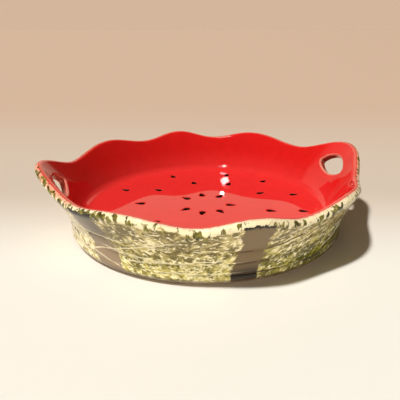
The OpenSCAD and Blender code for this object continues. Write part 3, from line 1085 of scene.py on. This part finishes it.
# %% Lines round the side
lit_from = 222
rind, tree, shader, where = new_finish("rind_glaze", ior=1.42)
surface = use_group(tree, glaze_surface, Where=where, Shine=0.08)
painted = use_group(tree, painted_rind, Where=where, Drop=attribute(tree, "drop"), Mottle=surface["Mottle"])
turn = use_group(tree, round_bowl, Where=where)
# Painted light: ridge lines are pale on the lit side and groove lines dark on the side away from the lamp.
lit_side = towards(tree, turn["Azimuth"], lit_from, 0.66, 0.80)
lit_share = times(tree, ramp(tree, painted["Dense"], 0.38, 0.54, 0.4, 1.0), lit_side)
broken = ramp(tree, noise(tree, where, 16 * MM, detail=3.0), 0.40, 0.58, 0.15, 1.0)
# pool is pooled glaze and painted groove shadow; line is thinned glaze and painted highlight.
pool = times(tree, ramp(tree, attribute(tree, "groove"), 0.5, 0.9), ramp(tree, lit_share, 0.0, 1.0, 0.9, 0.05))
line = times(tree, ramp(tree, attribute(tree, "ridge"), 0.4, 0.85), ramp(tree, lit_share, 0.0, 1.0, 0.05, 0.75))
pool, line = times(tree, pool, broken), times(tree, line, broken)
print("lines round the side take", len(tree.nodes), "nodes")

# %% [markdown]
# Pale streaks slant across the grooves where the glaze ran, and are partly painted highlight. One dark streak
# rises beside a stripe as painted shadow in a groove. Each is a straight line in azimuth and height, which
# noise shakes.

# %% Streaks
pale_streaks = [
    (-166, 26.5, -128, 28), (-158, 8, -110, 35), (-153, 15.5, -134, 7), (-143, 21, -112, 16),
    (-135, 13, -96, 20), (-60, 12, -28, 27), (-20, 26, 12, 14), (38, 10, 70, 29), (92, 25, 128, 12),
    (135, 15, 168, 27),
]
# Painted shadow: this dark streak stands for the shade in a groove.
groove_shadow_streak = (-86, 25.5, -63, 38.5)
pale_w, pale_strength, shadow_streak_w, shadow_streak_strength = 0.75 * MM, 0.75, 1.2 * MM, 0.9
shaken_height = shaken(tree, turn["Height"], 4 * MM, where, 14 * MM, detail=3.0)


def streak(azimuth0, height0, azimuth1, height1, wide):
    """Mask of a thin line between two places, in degrees and millimetres, that fades out at its ends."""
    start, span = np.radians(azimuth0), np.radians(azimuth1 - azimuth0)
    along = times_plus(tree, turn["Azimuth"], 1 / span, -start / span)
    level = times_plus(tree, along, (height1 - height0) * MM, height0 * MM)
    gap = sums(tree, "ABSOLUTE", minus(tree, shaken_height, level))
    inside = ramp(tree, sums(tree, "ABSOLUTE", minus(tree, along, 0.5)), 0.38, 0.5, 1.0, 0.0)
    return times(tree, ramp(tree, gap, 0.2 * MM, wide, 1.0, 0.0), inside)


for ends in pale_streaks:
    line = larger(tree, line, times(tree, streak(*ends, pale_w), pale_strength))
pool = larger(tree, pool, times(tree, streak(*groove_shadow_streak, shadow_streak_w), shadow_streak_strength))
print(len(pale_streaks), "pale streaks and a dark one")

# %% [markdown]
# Round the outer edge of a hand hole the glaze has thinned to cream as well, and inside the hole the red
# reaches through. The lowest part of the side, over the heel, is painted dark brown as painted shade under
# the bowl.

# %% Rind glaze
pool_tone, line_tone = colour(0.06, 0.032, 0.014), colour(0.90, 0.80, 0.55)
tunnel_tone, heel_shade_tone = colour(0.36, 0.032, 0.022), colour(0.10, 0.058, 0.03)
by_hole = runs_thin(tree, where, attribute(tree, "edge"), 1.3 * MM, ragged=0.5)
line = larger(tree, line, times(tree, by_hole, 0.7))
in_tunnel = times(tree, attribute(tree, "tunnel"), 0.95)
# Painted shade: dark brown low on the heel, where the bowl's underside is in shade.
heel_shade = ramp(tree, turn["Height"], 3.5 * MM, 7.0 * MM, 0.8, 0.0)
base = painted["Colour"]
for share, tone in ((pool, pool_tone), (line, line_tone), (in_tunnel, tunnel_tone), (heel_shade, heel_shade_tone)):
    base = blend(tree, share, base, tone)
set_surface(tree, shader, base, surface["Roughness"], surface["Height"], depth=0.3 * MM)
wear(rind, wall_outside, dish_side)

# %% [markdown]
# Bare clay
# The foot, the underside and the edge of the clay are unglazed: buff, dull, slightly sandy, with iron specks.

# %% Bare clay
buff_tones, iron_tone = (colour(0.40, 0.28, 0.17), colour(0.60, 0.46, 0.31)), colour(0.14, 0.08, 0.045)
clay, tree, shader, where = new_finish("bare_clay", ior=1.45)
grain = noise(tree, where, 0.9 * MM, detail=3.0, roughness=0.7)
cloud = noise(tree, where, 14 * MM, detail=3.0)
cells = place(tree, "TexVoronoi", {"Vector": where, "Scale": 1 / (2.6 * MM)}).outputs["Distance"]
specks = times(tree, ramp(tree, cells, 0.10, 0.17, 1.0, 0.0), ramp(tree, cloud, 0.45, 0.6))
base = blend(tree, specks, blend(tree, cloud, *buff_tones), iron_tone)
roughness = ramp(tree, grain, 0.3, 0.7, 0.7, 0.92)
set_surface(tree, shader, base, roughness, grain, depth=0.15 * MM)
wear(clay, *(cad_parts[name] for name in ("foot_ring", "base_dish", "wall")))

# %% [markdown]
# Studio
# The bowl stands on a wide pale floor, a large disc of paper. Behind the bowl, and far away all round, the
# paper turns to a warm tan. The camera sees the room above it in the same tone, so no horizon shows.

# %% Floor
studio_r, spokes = 30.0, np.radians(np.arange(0, 360, 3))
disc = np.stack([studio_r * np.cos(spokes), studio_r * np.sin(spokes), 0 * spokes], axis=-1)
mesh = bpy.data.meshes.new("studio_floor")
mesh.from_pydata(disc.tolist(), [], [list(range(len(spokes)))])
studio_floor = bpy.data.objects.new("studio_floor", mesh)
bpy.context.scene.collection.objects.link(studio_floor)

behind = np.radians(76)
paper_tones = colour(0.88, 0.87, 0.82), colour(0.91, 0.90, 0.85)
middle_tone, far_tone = colour(0.66, 0.575, 0.485), colour(0.645, 0.49, 0.38)
paper, tree, shader, where = new_finish("pale_paper", ior=1.45)
parts = place(tree, "SeparateXYZ", {0: where}).outputs
back = times_plus(tree, parts["X"], np.cos(behind), times(tree, parts["Y"], np.sin(behind)))
away = place(tree, "VectorMath", {0: where}, operation="LENGTH").outputs["Value"]
near = blend(tree, noise(tree, where, 0.3, detail=1.0), *paper_tones)
middle = blend(tree, ramp(tree, back, -0.09, 0.08), near, middle_tone)
far_off = larger(tree, ramp(tree, back, 0.08, 0.6), ramp(tree, away, 0.45, 1.3))
tree.links.new(blend(tree, far_off, middle, far_tone), shader.inputs["Base Color"])
shader.inputs["Roughness"].default_value = 0.85
shader.inputs["Specular IOR Level"].default_value = 0.15
wear(paper, studio_floor)

# %% [markdown]
# A high lamp at the front left makes the shadow on the right. It is far away, so the whole floor is lit
# alike. A long low card of light with a narrow spread lies in front, out of the picture. It brightens the
# rind, which leans away from the high lamp, and the front wall keeps it out of the bowl. The gloss mirrors
# neither of them. Its sharp glints come from three small lamps: one shows in the round corner, one by way of
# the wall on the floor, one straight on the floor.

# %% Lamps
lamp_colour = (1.0, 0.965, 0.91)
small_lamps = [
    ("streak", (228.5, 54.0, 1.0), 1.6, (0.13, 0.011), 52.7),
    ("glint", (203.9, 78.2, 1.0), 0.8, (0.075, 0.026), 31.5),
    ("spark", (73.3, 20.2, 1.5), 0.02, (0.016, 0.016), 0.0),
]


def from_bowl(azimuth, elevation, distance):
    """A place seen from the middle of the bowl, in degrees and metres."""
    a, e = np.radians(azimuth), np.radians(elevation)
    return Vector((np.cos(a) * np.cos(e), np.sin(a) * np.cos(e), np.sin(e))) * distance


def lamp(name, kind, seat, power, mirrored):
    """A lamp that faces the bowl. It either lights the bowl or is only mirrored in the gloss of the glaze."""
    light = bpy.data.lights.new(name, kind)
    light.energy, light.color = power, lamp_colour
    made = bpy.data.objects.new(name, light)
    made.location = from_bowl(*seat)
    made.rotation_euler = made.location.to_track_quat("Z", "Y").to_euler()
    made.visible_camera, made.visible_glossy, made.visible_diffuse = False, mirrored, not mirrored
    bpy.context.scene.collection.objects.link(made)
    return made


key = lamp("key", "SUN", (202, 64.5, 3.0), power=3.25, mirrored=False).data
key.angle = np.radians(5)
card = lamp("card", "AREA", (254, 3.5, 0.62), power=0.125, mirrored=False).data
card.shape, card.size, card.size_y = "RECTANGLE", 0.5, 0.04
card.spread = np.radians(40)
for name, seat, power, sides, roll in small_lamps:
    small = lamp(name, "AREA", seat, power, mirrored=True)
    small.rotation_euler.rotate_axis("Z", np.radians(roll))
    small.data.shape = "ELLIPSE"
    small.data.size, small.data.size_y = sides

# %% [markdown]
# The room itself is the world. It is pale low down all round, and rises to a pale wall behind the bowl, which
# the gloss of the bowl's floor shows as a lighter patch with the waved rim as its edge. Higher up it is dark,
# which keeps the red deep. The azimuth and the height of a direction pick its brightness.

# %% Light of the room
room_tones = colour(0.78, 0.56, 0.42), colour(0.088, 0.058, 0.032)
wall_from, wall_to = np.radians([66, 73]), np.radians([134, 158])
wall_low, wall_high = np.sin(np.radians([3, 36]))
world = bpy.data.worlds.new("room")
bpy.context.scene.world = world
world.use_nodes = True
tree = world.node_tree
way = place(tree, "SeparateXYZ", {0: place(tree, "TexCoord").outputs["Generated"]}).outputs
azimuth = sums(tree, "ARCTAN2", way["Y"], way["X"])
tilted = times_plus(tree, way["Z"], 0.58, azimuth)
wall_starts = ramp(tree, tilted, *wall_from, wall_low, wall_high)
wall_ends = ramp(tree, azimuth, *wall_to, wall_high, wall_low)
level = sums(tree, "MINIMUM", wall_starts, wall_ends)
lit_room = blend(tree, ramp(tree, minus(tree, way["Z"], level), -0.2, 0.06), *room_tones)
print("light of the room takes", len(tree.nodes), "nodes")

# %% [markdown]
# The camera sees a plain tan backdrop in place of that room. The gloss sees the backdrop too, but only low
# down, and lowest on one dim side, so that the red of the wall that mirrors it stays deep.

# %% Backdrop
backdrop_tone, dim_at = colour(0.658, 0.468, 0.3325), 25
backdrop_tops = np.sin(np.radians([10, 3]))
paths = place(tree, "LightPath").outputs
above = minus(tree, way["Z"], towards(tree, azimuth, dim_at, 0.4, 0.9, *backdrop_tops))
mirrored = larger(tree, paths["Is Glossy Ray"], paths["Is Transmission Ray"])
mirrored = times(tree, mirrored, ramp(tree, above, 0.0, 0.07, 1.0, 0.0))
seen = larger(tree, paths["Is Camera Ray"], mirrored)
room = blend(tree, seen, lit_room, backdrop_tone)
tree.links.new(room, tree.nodes["Background"].inputs["Color"])
bpy.context.scene.view_settings.view_transform = "Standard"
print("room has", len(tree.nodes), "nodes")

# %% [markdown]
# Camera
# The camera looks at the middle of the floor, from a little to the left of the long side's middle and about
# 21 degrees down. A small shift of the lens puts the bowl where the photograph has it.

# %% Camera
camera_seat = (256, 21.27, 0.3795)
camera = bpy.data.objects.new("camera", bpy.data.cameras.new("camera"))
aim = Vector((0, 0, floor_h + coat))
camera.location = aim + from_bowl(*camera_seat)
camera.rotation_euler = (camera.location - aim).to_track_quat("Z", "Y").to_euler()
camera.data.sensor_width, camera.data.lens = 36.0, 40.79
camera.data.shift_x, camera.data.shift_y = -0.0149, 0.0083
bpy.context.scene.collection.objects.link(camera)
bpy.context.scene.camera = camera
print("camera at", [round(c, 3) for c in camera.location])
